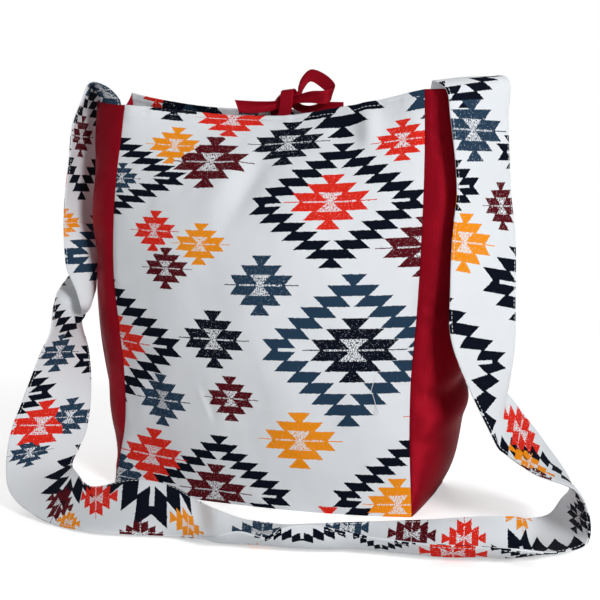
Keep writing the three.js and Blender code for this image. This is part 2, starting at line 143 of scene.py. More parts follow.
WAVES = 7
GOLDEN_ANGLE = 2.4           # radians
SHORTEST_WAVE = 0.75         # share of the length asked for,
LONGER_BY = 0.09             # and how much longer each next wave is
WAVE_START = 1.7


def waver(u, v, wave, turn):
    """Unevenness of about unit height: some sine waves of about one length, a golden angle apart."""
    total = np.zeros_like(u)
    for k in range(WAVES):
        angle = turn + GOLDEN_ANGLE * k
        length = wave * (SHORTEST_WAVE + LONGER_BY * k)
        along = u * np.cos(angle) + v * np.sin(angle)
        total += np.sin(2 * np.pi * along / length + WAVE_START * k * k + turn)
    return total / WAVES ** 0.5


def unit(vectors):
    """Vectors of length 1 in the same directions."""
    return vectors / np.linalg.norm(vectors, axis=-1, keepdims=True)


def normals(middle):
    """Outward direction of a grid of points: the cross product of its steps across and up."""
    return unit(np.cross(np.gradient(middle, axis=1), np.gradient(middle, axis=0)))


def mesh_piece(name, points, quads, cloth, material):
    """Object from points in millimetres and quads, with the place of each point on the flat cloth."""
    mesh = bpy.data.meshes.new(name)
    mesh.from_pydata((points / 1000).tolist(), [], quads.tolist())
    mesh.polygons.foreach_set("use_smooth", np.ones(len(quads), bool))
    place = mesh.attributes.new("cloth", "FLOAT_VECTOR", "POINT")
    place.data.foreach_set("vector", cloth.astype(np.float32).ravel())
    mesh.materials.append(material)
    mesh.update()
    piece = bpy.data.objects.new(name, mesh)
    bpy.context.scene.collection.objects.link(piece)
    return piece


def cloth_piece(name, middle, thick, u, v, material):
    """Closed piece of cloth: the grid of middle points moved half the thickness out and half in, joined
    round the edge. The flat place of a point is (u, v, face), face 0 outside and 1 inside."""
    high, wide = thick.shape
    out = normals(middle) * thick[..., None] / 2
    points = np.concatenate([(middle + out).reshape(-1, 3), (middle - out).reshape(-1, 3)])
    flat = np.stack([u, v, np.zeros_like(u)], -1).reshape(-1, 3)
    cloth = np.concatenate([flat, flat + (0, 0, 1)])
    outer = np.arange(high * wide).reshape(high, wide)
    inner = outer + high * wide
    quads = [np.stack([outer[:-1, :-1], outer[:-1, 1:], outer[1:, 1:], outer[1:, :-1]], -1),
             np.stack([inner[:-1, :-1], inner[1:, :-1], inner[1:, 1:], inner[:-1, 1:]], -1)]
    around = np.concatenate([outer[0, :-1], outer[:-1, -1], outer[-1, :0:-1], outer[:0:-1, 0]])
    after = np.roll(around, -1)
    quads.append(np.stack([around, around + high * wide, after + high * wide, after], -1))
    quads = np.concatenate([q.reshape(-1, 4) for q in quads])
    return mesh_piece(name, points, quads, cloth, material)


class Wire:
    """A value in a material's nodes. Arithmetic on it adds Math nodes; node() adds any other node."""

    def __init__(self, tree, socket):
        self.tree = tree
        self.socket = socket

    def node(self, kind, settings, sockets, out=0):
        """Add a node, set its settings, then join or fill its sockets; gives one of its outputs, if any."""
        made = self.tree.nodes.new(kind)
        for name, value in settings.items():
            setattr(made, name, value)
        for name, value in sockets.items():
            if isinstance(value, Wire):
                self.tree.links.new(value.socket, made.inputs[name])
            else:
                made.inputs[name].default_value = value
        return Wire(self.tree, made.outputs[out]) if made.outputs else None

    def math(self, operation, *others):
        return self.node("ShaderNodeMath", {"operation": operation}, dict(enumerate((self,) + others)))

    def vector(self, operation, *others, out=0):
        sockets = dict(enumerate((self,) + others))
        return self.node("ShaderNodeVectorMath", {"operation": operation}, sockets, out)

    def part(self, axis):
        """One of the three numbers of a vector."""
        return self.node("ShaderNodeSeparateXYZ", {}, {0: self}, axis)

    def mix(self, kind, first, second):
        """Blend from first to second by this value; kind is FLOAT, VECTOR or RGBA."""
        a, b, out = {"FLOAT": (2, 3, 0), "VECTOR": (4, 5, 1), "RGBA": (6, 7, 2)}[kind]
        return self.node("ShaderNodeMix", {"data_type": kind}, {0: self, a: first, b: second}, out)

    def noise(self, scale, detail=2.0, out=0):
        return self.node("ShaderNodeTexNoise", {}, {"Vector": self, "Scale": scale, "Detail": detail}, out)

    def __add__(self, other):
        return self.math("ADD", other)

    def __sub__(self, other):
        return self.math("SUBTRACT", other)

    def __rsub__(self, other):
        return self.math("MULTIPLY_ADD", -1.0, other)

    def __mul__(self, other):
        return self.math("MULTIPLY", other)

    def __lt__(self, other):
        return self.math("LESS_THAN", other)

    def __gt__(self, other):
        return self.math("GREATER_THAN", other)

    __radd__ = __add__
    __rmul__ = __mul__


def colour(red, green, blue):
    """Linear colour from the 0 to 255 values of a screen colour."""
    share = np.array([red, green, blue]) / 255
    linear = np.where(share <= 0.04045, share / 12.92, ((share + 0.055) / 1.055) ** 2.4)
    return (*linear.tolist(), 1.0)


GROUND = colour(232, 236, 240)
GROUND_SHADE = colour(196, 204, 214)
SHADE_SHARE = 0.1
INKS = {"navy": colour(8, 15, 29), "slate": colour(38, 61, 83), "red": colour(226, 42, 28),
        "maroon": colour(86, 14, 24), "orange": colour(246, 148, 22)}
FACE_APART = 1000.0          # steps from a motif to the cloth's other face


def nearest_motif(cloth, motifs, reach, slope):
    """Of all motifs on a cloth, the nearest to each point: how far it is from that motif's middle, in the
    motif's own steps across and up, and its ink. Nearness is steps across plus slope times steps up. A motif
    with a face number is on that face of the cloth only."""
    inks = list(INKS)
    best = None
    for ink, u, v, wide, high, *face in motifs:
        scale = np.array([reach[0] / wide, reach[1] / high, FACE_APART if face else 0.0])
        shift = -scale * (u, v, face[0] if face else 0.0)
        off = cloth.vector("MULTIPLY_ADD", tuple(scale), tuple(shift)).vector("ABSOLUTE")
        far = off.vector("DOT_PRODUCT", (1.0, slope, 1.0), out=1)
        place = (inks.index(ink) + 0.5) / len(inks)
        if best is None:
            best, best_far, best_place = off, far, place
        else:
            nearer = far < best_far
            best = nearer.mix("VECTOR", best, off)
            best_place = nearer.mix("FLOAT", best_place, place)
            best_far = far.math("MINIMUM", best_far)
    ramp = cloth.node("ShaderNodeValToRGB", {}, {0: best_place})
    stops = ramp.socket.node.color_ramp
    stops.interpolation = "CONSTANT"
    for i, ink in enumerate(INKS.values()):
        stop = stops.elements[i] if i < 2 else stops.elements.new(i / len(inks))
        stop.position = i / len(inks)
        stop.color = ink
    return best.part(0), best.part(1), ramp


def empty_nodes(owner):
    """The node tree of a material or a world, emptied, as a wire that nodes are added from."""
    owner.use_nodes = True
    owner.node_tree.nodes.clear()
    return Wire(owner.node_tree, None)


def cloth_material(name):
    """New material, and the wire of the flat place that every cloth mesh carries."""
    material = bpy.data.materials.new(name)
    cloth = empty_nodes(material).node("ShaderNodeAttribute", {"attribute_name": "cloth"}, {}, "Vector")
    return material, cloth


WEAVE_RISE = 0.25            # shares of the bump: the threads' ridges,
RUB_RISE = 1.2               # and the rubbed unevenness
RUB_SCALE = 0.6              # noise scales are per millimetre
BUMP_STRENGTH = 0.35
BUMP_DEPTH = 0.0006          # metres
DRY_SHEEN = 0.08


def woven(material, cloth, tint, thread, roughness, gloss):
    """Finish of a plain weave: crossing sine ridges one thread apart, over a soft rubbed unevenness. Gloss
    is the share of the light that a satin face gives back in its own colour."""
    across, up = [(cloth.part(axis) * (2 * np.pi / thread)).math("SINE") for axis in (0, 1)]
    height = across * up * WEAVE_RISE + cloth.noise(RUB_SCALE, detail=3.0) * RUB_RISE
    normal = cloth.node("ShaderNodeBump", {}, {
        "Strength": BUMP_STRENGTH, "Distance": BUMP_DEPTH, "Height": height})
    shader = cloth.node("ShaderNodeBsdfPrincipled", {}, {
        "Base Color": tint, "Roughness": roughness, "Metallic": gloss, "Specular IOR Level": DRY_SHEEN,
        "Normal": normal})
    cloth.node("ShaderNodeOutputMaterial", {}, {"Surface": shader})
    return material


def stepped_edge(y, foot, narrowing, flare):
    """Half width of a stepped motif: each whole step up is narrower, and flares a little within itself."""
    step = y.math("FLOOR")
    return foot - narrowing * step + flare * (y - step)


def bar(x, y, high, start, end):
    """Thin level bar on both sides of a motif: below a height, between a start and an end."""
    return (y < high) * (x > start) * (x < end)


COTTON = (0.9, 0.9, 0.0)     # a finish: thread spacing, roughness and gloss
RING_REACH = (8.0, 7.0)      # a motif's steps across and up, from its middle to its tips
RING_EDGE = (7.1, 1.15, 0.9)         # half width at the middle, loss with each step, flare
RING_BAND = 2.35
RING_SLIT = (0.16, 4.75, 6.5)        # a bar: height, start and end
MEDALLION_REACH = (4.1, 3.0)
MEDALLION_EDGE = (3.15, 1.4, 0.95)
CENTRE_LINE = (0.08, 0.3, 2.8)
WHISKER = (0.05, 3.0, 4.9)
GLASS_WAIST = 0.25           # the white hourglass: half its waist, its spread and half its height
GLASS_SPREAD = 1.05
GLASS_HIGH = 1.05
BLUR_SCALE = 0.55            # the ink strays from its edge
BLUR_REACH = (2.2, 1.6, 0.0)
GRAIN_SCALE = 1.1            # the white of the hourglass is broken up
GRAIN_DRAWN = (1.0, 0.45, 1.0)
GRAIN_SHOWS = 0.47
SPECK_SCALE = 0.75           # the ink misses in specks
RING_SPECKS = 0.76
MEDALLION_SPECKS = 0.72
STREAK_SCALE = 1.5           # and in streaks
STREAK_DRAWN = (0.5, 1.0, 1.0)
STREAKS = 0.68
SHADE_SCALE = 0.02


def printed_cloth(name, medallions, rings, faded):
    """White woven cotton with a print of two motifs. A medallion has three steps up, each narrower than the
    one below and flared within itself, with a speckled white hourglass in its middle. A ring has seven such
    steps, left open inside, with a white slit at each tip. All edges waver a little, as the ink took on the
    weave. On the inside of the cloth, below the hem, the ink shows through, faded by the share given."""
    material, cloth = cloth_material(name)
    blur = cloth.noise(BLUR_SCALE, out=1).vector("SUBTRACT", (0.5, 0.5, 0.5)).vector("MULTIPLY", BLUR_REACH)
    inked = cloth.vector("ADD", blur)
    grain = cloth.vector("MULTIPLY", GRAIN_DRAWN).noise(GRAIN_SCALE, detail=3.0) > GRAIN_SHOWS
    speck = cloth.noise(SPECK_SCALE, detail=4.0)
    streak = cloth.vector("MULTIPLY", STREAK_DRAWN).noise(STREAK_SCALE, detail=2.0)
    shade = cloth.noise(SHADE_SCALE, detail=3.0)
    tint = (shade * SHADE_SHARE).mix("RGBA", GROUND, GROUND_SHADE)

    x, y, ink = nearest_motif(inked, rings, RING_REACH, RING_EDGE[1])
    outer = stepped_edge(y, *RING_EDGE)
    ring = (x < outer) * (x > outer - RING_BAND) * (y < RING_REACH[1])
    ring = ring * (1.0 - bar(x, y, *RING_SLIT)) * (speck < RING_SPECKS)
    tint = ring.mix("RGBA", tint, ink)

    x, y, ink = nearest_motif(inked, medallions, MEDALLION_REACH, MEDALLION_EDGE[1])
    body = (x < stepped_edge(y, *MEDALLION_EDGE)) * (y < MEDALLION_REACH[1])
    glass = (x < GLASS_WAIST + GLASS_SPREAD * y) * (y < GLASS_HIGH) * grain
    centre = bar(x, y, *CENTRE_LINE) * grain
    body = body * (1.0 - glass) * (1.0 - centre) * (speck < MEDALLION_SPECKS) * (streak < STREAKS)
    tint = body.math("MAXIMUM", bar(x, y, *WHISKER)).mix("RGBA", tint, ink)

    inside = cloth.part(2) * (cloth.part(1) < SIDE_HEIGHT - HEM_WIDTH)
    tint = (inside * faded).mix("RGBA", tint, GROUND)
    return woven(material, cloth, tint, *COTTON)


FRONT_MEDALLIONS = [
    ("orange", -95, 345, 26, 19), ("maroon", -52, 329, 38, 27), ("red", -42, 377, 35, 20),
    ("navy", 23, 349, 35, 24), ("red", 136, 340, 25, 19), ("red", 74, 287, 35, 26),
    ("red", -101, 258, 25, 20), ("orange", -48, 247, 26, 20), ("maroon", -85, 222, 25, 20),
    ("slate", 16, 209, 30, 28), ("maroon", 161, 242, 37, 27), ("navy", 103, 150, 39, 29),
    ("navy", -33, 157, 32, 27), ("slate", -100, 94, 30, 25), ("maroon", -18, 102, 25, 21),
    ("orange", 53, 67, 35, 26), ("red", -111, 38, 37, 26), ("maroon", -34, 12, 33, 26),
    ("orange", 144, 11, 27, 23), ("slate", -152, 11, 34, 22), ("slate", -149, 309, 20, 15),
    ("red", -157, 146, 40, 25), ("navy", -104, 397, 38, 26), ("red", 186, 89, 30, 22),
    ("red", 80, -15, 30, 22)]
FRONT_RINGS = [
    ("navy", 79, 285, 80, 60), ("slate", 100, 150, 82, 69), ("navy", -163, 146, 93, 61),
    ("navy", -32, 12, 76, 54), ("navy", 155, 15, 70, 53), ("navy", -169, 311, 95, 45),
    ("navy", 75, 427, 100, 75), ("slate", 229, 375, 90, 64)]
FRONT_FOLDS = [
    (12, 400, 25, 60, 5, 60), (-122, 150, -112, 60, -4, 15), (-12, 352, -52, 268, 3, 14),
    (8, 350, -28, 255, -3, 12), (60, 372, 105, 335, -4, 12), (103, 388, 112, 335, 5, 10),
    (-60, 118, -40, 72, 0.9, 3), (-53, 112, -34, 74, -0.9, 5), (116, 110, 98, 78, 1.2, 8),
    (126, 120, 112, 70, -1.2, 8), (-130, 330, -112, 250, -1.6, 16)]
FRONT_TURN = 0.4             # each cloth has its own turn, which sets how its waves fall
PRINT_WIDTH = 312.0          # width of the print that the front shows
SHOWN_THROUGH = 0.55
PUFF = 1.3                   # how far the cloth swells off a sewn edge, and over what width
PUFF_WIDTH = 5.0
PANEL_UNEVEN = (0.9, 95)     # rise and wave of the cloth's unevenness,
PANEL_CREASES = (0.16, 27)   # and of its small creases
CREASE_TURN = 3
PANEL_PUCKERS = (0.7, 11, 17)        # rise, reach from the seam, and wave
HEM_GROOVE = (0.55, 1.4)     # depth and width
HEM_RIPPLE = (0.3, 7, 11)    # rise, reach from the stitches, and wave
HEM_STEP = 0.8
GRID_STEP = 2.4              # spacing of a cloth's points
HEM_ROWS = 22                # closer rows of points, over
HEM_ROWS_SPAN = 22.0         # this much of the top,
HEM_ROWS_FOR = 14            # in place of so many even ones


def off_seams(u, v, width):
    """Distance to the nearer side seam, and how freely the cloth swells: 1 less a bell at a sewn edge."""
    near = np.minimum(u, width - u)
    return near, (1 - np.exp(-(near / PUFF_WIDTH) ** 2)) * (1 - np.exp(-(v / PUFF_WIDTH) ** 2))


def puckers(near, free, v, size, turn):
    """Puckers along the side seams: waves up the seam that fade away from it."""
    rise, reach, wave = size
    return free * rise * np.exp(-near / reach) * waver(np.zeros_like(v), v, wave, turn)


def panel_relief(u, v, width, rows, turn):
    """How far a panel's cloth stands off its smooth shape: swollen away from the sewn edges, the listed
    folds, a low unevenness and small creases, puckers along the side seams, and the stitched hem."""
    near, free = off_seams(u, v, width)
    uneven_rise, uneven_wave = PANEL_UNEVEN
    crease_rise, crease_wave = PANEL_CREASES
    uneven = uneven_rise * waver(u, v, uneven_wave, turn)
    uneven += crease_rise * waver(u, v, crease_wave, turn + CREASE_TURN)
    relief = PUFF * free + free * (folds(u - width / 2, v, rows) + uneven)
    relief += puckers(near, free, v, PANEL_PUCKERS, turn)
    from_stitches = SIDE_HEIGHT - v - HEM_STITCH
    depth, groove_width = HEM_GROOVE
    relief -= depth * np.exp(-(from_stitches / groove_width) ** 2)
    rise, reach, wave = HEM_RIPPLE
    relief += rise * np.exp(-(from_stitches / reach) ** 2) * waver(u, np.zeros_like(u), wave, turn) * free
    return relief


def panel_grid(width):
    """Flat grid of a hemmed panel, from just over the base up, with closer rows over the hem."""
    even = spaced(SIDE_HEIGHT, GRID_STEP)[:-HEM_ROWS_FOR]
    close = np.linspace(SIDE_HEIGHT - HEM_ROWS_SPAN, SIDE_HEIGHT - EDGE, HEM_ROWS)
    up = np.concatenate([even, close, SIDE_HEIGHT - EDGE * EDGE_STEPS[::-1]])
    return np.meshgrid(spaced(width, GRID_STEP), up)


def hemmed_thickness(u, v, width):
    """Thickness of a hemmed panel: a second layer over the hem, and rounded edges."""
    hem = 0.5 + 0.5 * np.tanh((v - SIDE_HEIGHT + HEM_WIDTH) / HEM_STEP)
    return (CLOTH + HEM_EXTRA * hem) * rounded(u, width) * rounded(v, SIDE_HEIGHT)


width = FRONT_CUT[0]
u, v = panel_grid(width)
hem_row = int(np.argmin(np.abs(v[:, 0] - SIDE_HEIGHT + HEM_STITCH)))
front_middle = front_at(u / width, v / SIDE_HEIGHT)
front_middle += normals(front_middle) * panel_relief(u, v, width, FRONT_FOLDS, FRONT_TURN)[..., None]
front_thick = hemmed_thickness(u, v, width)
front_print = printed_cloth("front_print", FRONT_MEDALLIONS, FRONT_RINGS, SHOWN_THROUGH)
printed_u = (u / width - 0.5) * PRINT_WIDTH
front = cloth_piece("front_cloth", front_middle, front_thick, printed_u, v, front_print)
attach(front, "root")
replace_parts(front, "front_panel")

# Back panel: the same cloth as the front, cut a little wider, with the print falling differently on it. Its
# hem is drawn in further by its tie and stands higher than the front's.
BACK_CUT = (340.0, SIDE_HEIGHT)
BACK_BULGE = [(0, 6), (0.2, 18), (0.5, 22), (0.75, 15), (0.9, 7), (1, 2)]
BACK_PULL = [(0, 0), (0.6, 0), (0.75, 2), (0.9, 14), (1, 28)]
BACK_SAG = 12.0
BACK_LEFT_LIFT = 13.0
BACK_HEM_MEDALLIONS = [("navy", 100, 384, 40, 29), ("red", 140, 391, 26, 17)]
BACK_LEFT_X = [(0, -4), (0.25, -5), (0.5, -7), (0.75, -12), (1, -20)]
BACK_LEFT_Y = [(0, 1), (0.25, -11), (0.5, -19), (0.75, -26), (1, -31)]
BACK_RIGHT_X = [(0, 7), (0.25, 9), (0.5, 11), (0.75, 18), (1, 26)]
BACK_RIGHT_Y = [(0, -5), (0.25, -13), (0.5, -19), (0.75, -26), (1, -31)]
BACK_FOLDS = [(-60, 370, -30, 300, -2.0, 12), (40, 372, 20, 290, 2.0, 14), (-90, 120, -40, 60, 1.4, 8),
              (80, 100, 110, 40, -1.4, 9), (100, 350, 120, 250, 1.6, 14), (-120, 320, -100, 220, -1.6, 14)]
BACK_TURN = 1.9
PRINT_SHIFT = 178.0          # up the roll
PRINT_ROUND = 400.0          # a motif pushed past this height starts again at the foot


def back_left(t):
    return seam_line(-1, 1, BACK_LEFT_X, BACK_LEFT_Y, t)


def back_right(t):
    return seam_line(1, 1, BACK_RIGHT_X, BACK_RIGHT_Y, t)


def back_at(s, t):
    """Middle of the back's cloth, s from right seam to left seam: as the front, swelling to the back."""
    at = back_right(t) + (back_left(t) - back_right(t)) * s[..., None]
    at[..., 1] += curve(BACK_BULGE, t) * hump(s, ROUND) - curve(BACK_PULL, t) * hump(s, PEAKED)
    at[..., 2] -= (BACK_SAG * hump(s, PEAKED) - BACK_LEFT_LIFT * s ** CORNER) * t ** TOWARDS_MOUTH
    return at


def shifted(motifs):
    """The same print further up the roll: every motif moved up by one shift, and round to the foot again."""
    return [(ink, u, (v + PRINT_SHIFT) % PRINT_ROUND, wide, high) for ink, u, v, wide, high in motifs]


width = BACK_CUT[0]
u, v = panel_grid(width)
back_middle = back_at(u / width, v / SIDE_HEIGHT)
back_middle += normals(back_middle) * panel_relief(u, v, width, BACK_FOLDS, BACK_TURN)[..., None]
back_thick = hemmed_thickness(u, v, width)
back_medallions = shifted(FRONT_MEDALLIONS) + BACK_HEM_MEDALLIONS
back_print = printed_cloth("back_print", back_medallions, shifted(FRONT_RINGS), SHOWN_THROUGH)
back = cloth_piece("back_cloth", back_middle, back_thick, u - width / 2, v, back_print)
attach(back, "root")
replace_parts(back, "back_panel")

# Gussets: two strips of plain crimson cotton sateen between the front and the back, bowed outwards by what
# fills the bag. The right one is dented in its lower third, where the strap hangs against it.
GUSSET_CUT = (140.0, SIDE_HEIGHT)
LEFT_SAG = 14.0              # of the left one's top edge, over a share of it from the back corner
LEFT_SAG_SPAN = 0.3
BOW_LEAN = 0.75
GUSSET_UNEVEN = (0.9, 80)
GUSSET_PUCKERS = (0.8, 9, 15)
NARROW_STEP = 2.2            # spacing of points across a narrow piece
RIGHT_TURN = 0.7
LEFT_TURN = 2.6
CRIMSON_DEEP = colour(130, 6, 24)
CRIMSON_BRIGHT = colour(168, 14, 36)
SATEEN = (0.6, 0.42, 0.5)
PATCH_SCALE = 0.03
SLUB_SCALE = 0.8
SLUB_DRAWN = (1.0, 0.06, 1.0)
LEFT_BOW = [(0, 1), (0.08, 13), (0.2, 26), (0.35, 33.5), (0.5, 32), (0.7, 31.5), (0.85, 32), (1, 31)]
RIGHT_BOW = [(0, 1), (0.08, 20), (0.2, 32), (0.35, 38), (0.5, 41), (0.7, 42), (0.85, 40), (1, 36)]
RIGHT_FOLDS = [
    (-10, 98, 120, 140, -5.0, 9), (-10, 74, 120, 116, 4.0, 11), (20, 330, 28, 180, 1.6, 10),
    (45, 320, 52, 160, -1.8, 12), (70, 360, 84, 230, 1.4, 12)]
LEFT_FOLDS = [(10, 150, 24, 40, 2.0, 9), (28, 200, 40, 60, -2.2, 10), (20, 340, 36, 230, 1.6, 12),
              (60, 300, 70, 120, -1.6, 14), (95, 250, 110, 90, 1.6, 14)]


def bow(v):
    """Bow of a gusset, fullest a little in front of its middle: the sine of pi times a power of v."""
    return np.sin(np.pi * np.clip(v, 0, None) ** BOW_LEAN)


def right_at(s, t):
    """Middle of the right gusset's cloth, s from its front seam to its back seam."""
    at = front_right(t) + (back_right(t) - front_right(t)) * s[..., None]
    at[..., 0] += curve(RIGHT_BOW, t) * bow(s)
    return at


def left_at(s, t):
    """Middle of the left gusset's cloth, s from its back seam to its front seam. Its top edge slopes with
    the two corners and sags between the back corner and the strap."""
    at = back_left(t) + (front_left(t) - back_left(t)) * s[..., None]
    at[..., 0] -= curve(LEFT_BOW, t) * bow(1 - s)
    at[..., 2] += (BACK_LEFT_LIFT * (1 - s) - FRONT_LEFT_DIP * s) * t ** TOWARDS_MOUTH
    at[..., 2] -= LEFT_SAG * hump(np.clip(s / LEFT_SAG_SPAN, 0, 1), ROUND) * t ** AT_MOUTH
    return at


def crimson_cloth(name, thread, roughness, gloss):
    """Plain dyed cloth: crimson, a little deeper in soft patches and along single threads."""
    material, cloth = cloth_material(name)
    patch = cloth.noise(PATCH_SCALE, detail=3.0)
    slub = cloth.vector("MULTIPLY", SLUB_DRAWN).noise(SLUB_SCALE, detail=2.0)
    tint = (patch * 0.5 + slub * 0.5).mix("RGBA", CRIMSON_DEEP, CRIMSON_BRIGHT)
    return woven(material, cloth, tint, thread, roughness, gloss)


def gusset_piece(name, at, rows, flip, turn):
    """A gusset from its surface and its folds, which are placed from its front seam; flip is for one whose
    surface starts at its back seam."""
    width = GUSSET_CUT[0]
    u, v = np.meshgrid(spaced(width, NARROW_STEP), spaced(SIDE_HEIGHT, GRID_STEP))
    middle = at(u / width, v / SIDE_HEIGHT)
    from_front = width - u if flip else u
    near, free = off_seams(u, v, width)
    rise, wave = GUSSET_UNEVEN
    relief = free * (PUFF + folds(from_front, v, rows) + rise * waver(u, v, wave, turn))
    relief += puckers(near, free, v, GUSSET_PUCKERS, turn)
    middle += normals(middle) * relief[..., None]
    thick = CLOTH * rounded(u, width) * rounded(v, SIDE_HEIGHT)
    piece = cloth_piece(name, middle, thick, u, v, crimson)
    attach(piece, "root")
    return piece


crimson = crimson_cloth("crimson_sateen", *SATEEN)
right_gusset = gusset_piece("right_gusset_cloth", right_at, RIGHT_FOLDS, False, RIGHT_TURN)
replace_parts(right_gusset, "right_gusset")
left_gusset = gusset_piece("left_gusset_cloth", left_at, LEFT_FOLDS, True, LEFT_TURN)
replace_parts(left_gusset, "left_gusset")

# Base: one flat piece of the printed cloth that lies on the floor, sewn to the foot of the four walls. It
# carries the lower motifs of the front's print.
BASE_CUT = (312.0, 150.0)
BASE_STEP = 3.0
BASE_PRINT_TOP = 170.0


def base_at(s, t):
    """Flat patch between the four foot lines: two ruled patches added, less the one through the corners."""
    foot = np.zeros_like(s)
    front_edge = front_at(s, foot)
    back_edge = back_at(1 - s, foot)
    right_edge = right_at(t, foot)
    left_edge = left_at(1 - t, foot)
    s, t = s[..., None], t[..., None]
    low = front_left(foot) * (1 - s) + front_right(foot) * s
    high = back_left(foot) * (1 - s) + back_right(foot) * s
    at = front_edge * (1 - t) + back_edge * t + left_edge * (1 - s) + right_edge * s
    at = at - low * (1 - t) - high * t
    at[..., 2] = CLOTH / 2
    return at


u, v = np.meshgrid(spaced(BASE_CUT[0], BASE_STEP), spaced(BASE_CUT[1], BASE_STEP))
base_middle = base_at(u / BASE_CUT[0], v / BASE_CUT[1])
base_thick = CLOTH * rounded(u, BASE_CUT[0]) * rounded(v, BASE_CUT[1])
base_medallions, base_rings = [[motif for motif in motifs if motif[2] < BASE_PRINT_TOP]
                               for motifs in (FRONT_MEDALLIONS, FRONT_RINGS)]
base_print = printed_cloth("base_print", base_medallions, base_rings, SHOWN_THROUGH)
base = cloth_piece("base_cloth", base_middle, base_thick, u - BASE_CUT[0] / 2, v, base_print)
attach(base, "root")
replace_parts(base, "base_panel")

# Shoulder strap: a long tube of the printed cloth pressed flat and topstitched along both edges, so two
# layers thick. Each end is sewn inside the top of a gusset; the slack falls in front of the bag and lies
# cupped there.
STRAP_WIDTH = 75.0
STRAP_THICKNESS = 2.4
STRAP_INSET = 6.0            # from a gusset's front seam
STRAP_STAND = 3.0            # straight up from a gusset's edge before it turns
STRAP_SEAT = 1.2             # off the floor
STRAP_SEWN = 12.0            # how deep an end is sewn in
STRAP_STITCH = 2.6           # from the strap's edges
STRAP_GROOVE = (0.28, 1.3)   # share of the thickness that the stitches press in, and its width
STRAP_WAVES = (0.5, 60)
STRAP_TURN = 1.1
STRAP_FIRM = 10.0            # width along each edge where the stitches hold the waves down
STRAP_LEAVES = [(-STRAP_SEWN, 2.6), (1, 0.5), (STRAP_STAND + 1, 0)]  # height over the edge, and inward of it
EDGE_SAMPLES = 501
STRAP_RIGHT = [
    ((38.5, 52.5, 1, 10.5), (52, 53, 8)), ((49, 48.5, 1, 4.5), (48, 57, 12)),
    ((51.5, 47, 0.934, 0), (43, 62, 1)), ((56, 49.5, 0.767, 0), (39, 64, 2)),
    ((58, 42, 0.657, 0), (48, 57, -8)), ((59, 32.5, 0.524, 0), (51, 54, -14)),
    ((61, 25, 0.402, 0), (48, 56, -13)), ((78.5, 14, 0.255, 0), (4, 62, 32)),
    ((81, 12.5, 0.235, 0), (-2, 63, 38)), ((85, 11, 0.226, 0), (-2, 64, 35)),
    ((114.5, 1, 0.16, 0), (1, 72, 11)), ((144, -5, 0.1, 0), (-10, 72, -13)),
    ((146.5, -24.5, 0.062, 0), (-29, 71, -1)), ((141.5, -35.5, 0.031, 0), (-35, 67, 3))]
STRAP_FLOOR = [
    ((123, -55), (-40, 91), (15, 35)), ((103.5, -86.5), (-20, 98), (46, 85)),
    ((72, -97.5), (-13, 99), (54, 85)), ((43.5, -104), (-12, 99), (56, 65)),
    ((11, -103), (-13, 99), (56, 42)), ((-21, -108), (-17, 98), (69, 31)),
    ((-55, -121), (-20, 98), (101, 28))]
STRAP_LEFT_FLOOR = [
    ((222, -122), (-25, 97), (81, 18)), ((206, -116), (-28, 96), (44, 12)),
    ((183, -120.5), (-33, 94), (56, 23)), ((162, -120), (-37, 93), (40, 46)),
    ((139, -105), (-40, 91), (15, 56))]
STRAP_LEFT = [
    ((110, -99, 0, 15.5), (-31, 65, 25)), ((75.5, -106, 0, 17.9), (-25, 64, 29)),
    ((38.5, -109, 0, 13.4), (-33, 64, 20)), ((-1, -90.5, 0.042, 0), (-8, 63, 24)),
    ((-37.5, -64, 0.064, 0), (23, 62, 13)), ((-47.5, -44.5, 0.104, 0), (41, 57, 6)),
    ((-51.5, -26, 0.159, 0), (47, 52, -8)), ((-53.5, -8.5, 0.228, 0), (39, 55, 3)),
    ((-56.5, 17, 0.35, 0), (9, 66, -8)), ((-61, 26.5, 0.398, 0), (-6, 75, 0)),
    ((-55, 40.5, 0.467, 0), (56, 50, 0), (70, 195)), ((-47, 56.5, 0.505, 0), (67, -34, 0), (75, 140)),
    ((-43, 58.5, 0.562, 0), (17, -73, 0), (110, 105)), ((-48.5, 65.5, 0.615, 0), (0, -75, 0), (60, 60)),
    ((-57.5, 70.5, 0.673, 0), (-5, -75, 0), (10, 20)), ((-62.5, 71, 0.742, 0), (-3, -75, 0)),
    ((-61.5, 70.5, 0.846, 0), (0, -75, 0), (-10, -10)), ((-57, 68, 0.944, 0), (2, -75, 0), (-15, -15)),
    ((-51, 67, 1, -1), (8, -75, 0), (-12, -18)), ((-43, 66.5, 1, 16.5), (13, -74, 0), (-12, -16)),
    ((-39, 58, 1, 12), (28, -70, 0), (-30, -45))]
RAILS = np.array([-0.5, -0.37, -0.2, 0, 0.17, 0.34, 0.5])    # shares of the width
INSIDE_FACE, OUTSIDE_FACE = 0, 1     # where it leaves the right gusset: towards the bag, and away
OUTSIDE_MEDALLIONS = [
    ("slate", -12, 68, 38, 28), ("maroon", 22, 136, 22, 21), ("orange", -24, 172, 29, 28),
    ("red", 8, 351, 30, 22), ("orange", -26, 368, 15, 26), ("maroon", -38, 376, 18, 16),
    ("red", -27, 571, 24, 26), ("orange", 38, 1284, 22, 15), ("maroon", 12, 1373, 24, 21),
    ("slate", 10, 456, 30, 24), ("maroon", 20, 646, 28, 20), ("orange", 10, 736, 30, 24),
    ("slate", -12, 816, 30, 24), ("red", 15, 901, 30, 24), ("maroon", -15, 981, 30, 22),
    ("orange", 15, 1056, 28, 22), ("slate", -12, 1136, 30, 24), ("slate", 26, 1440, 34, 26)]
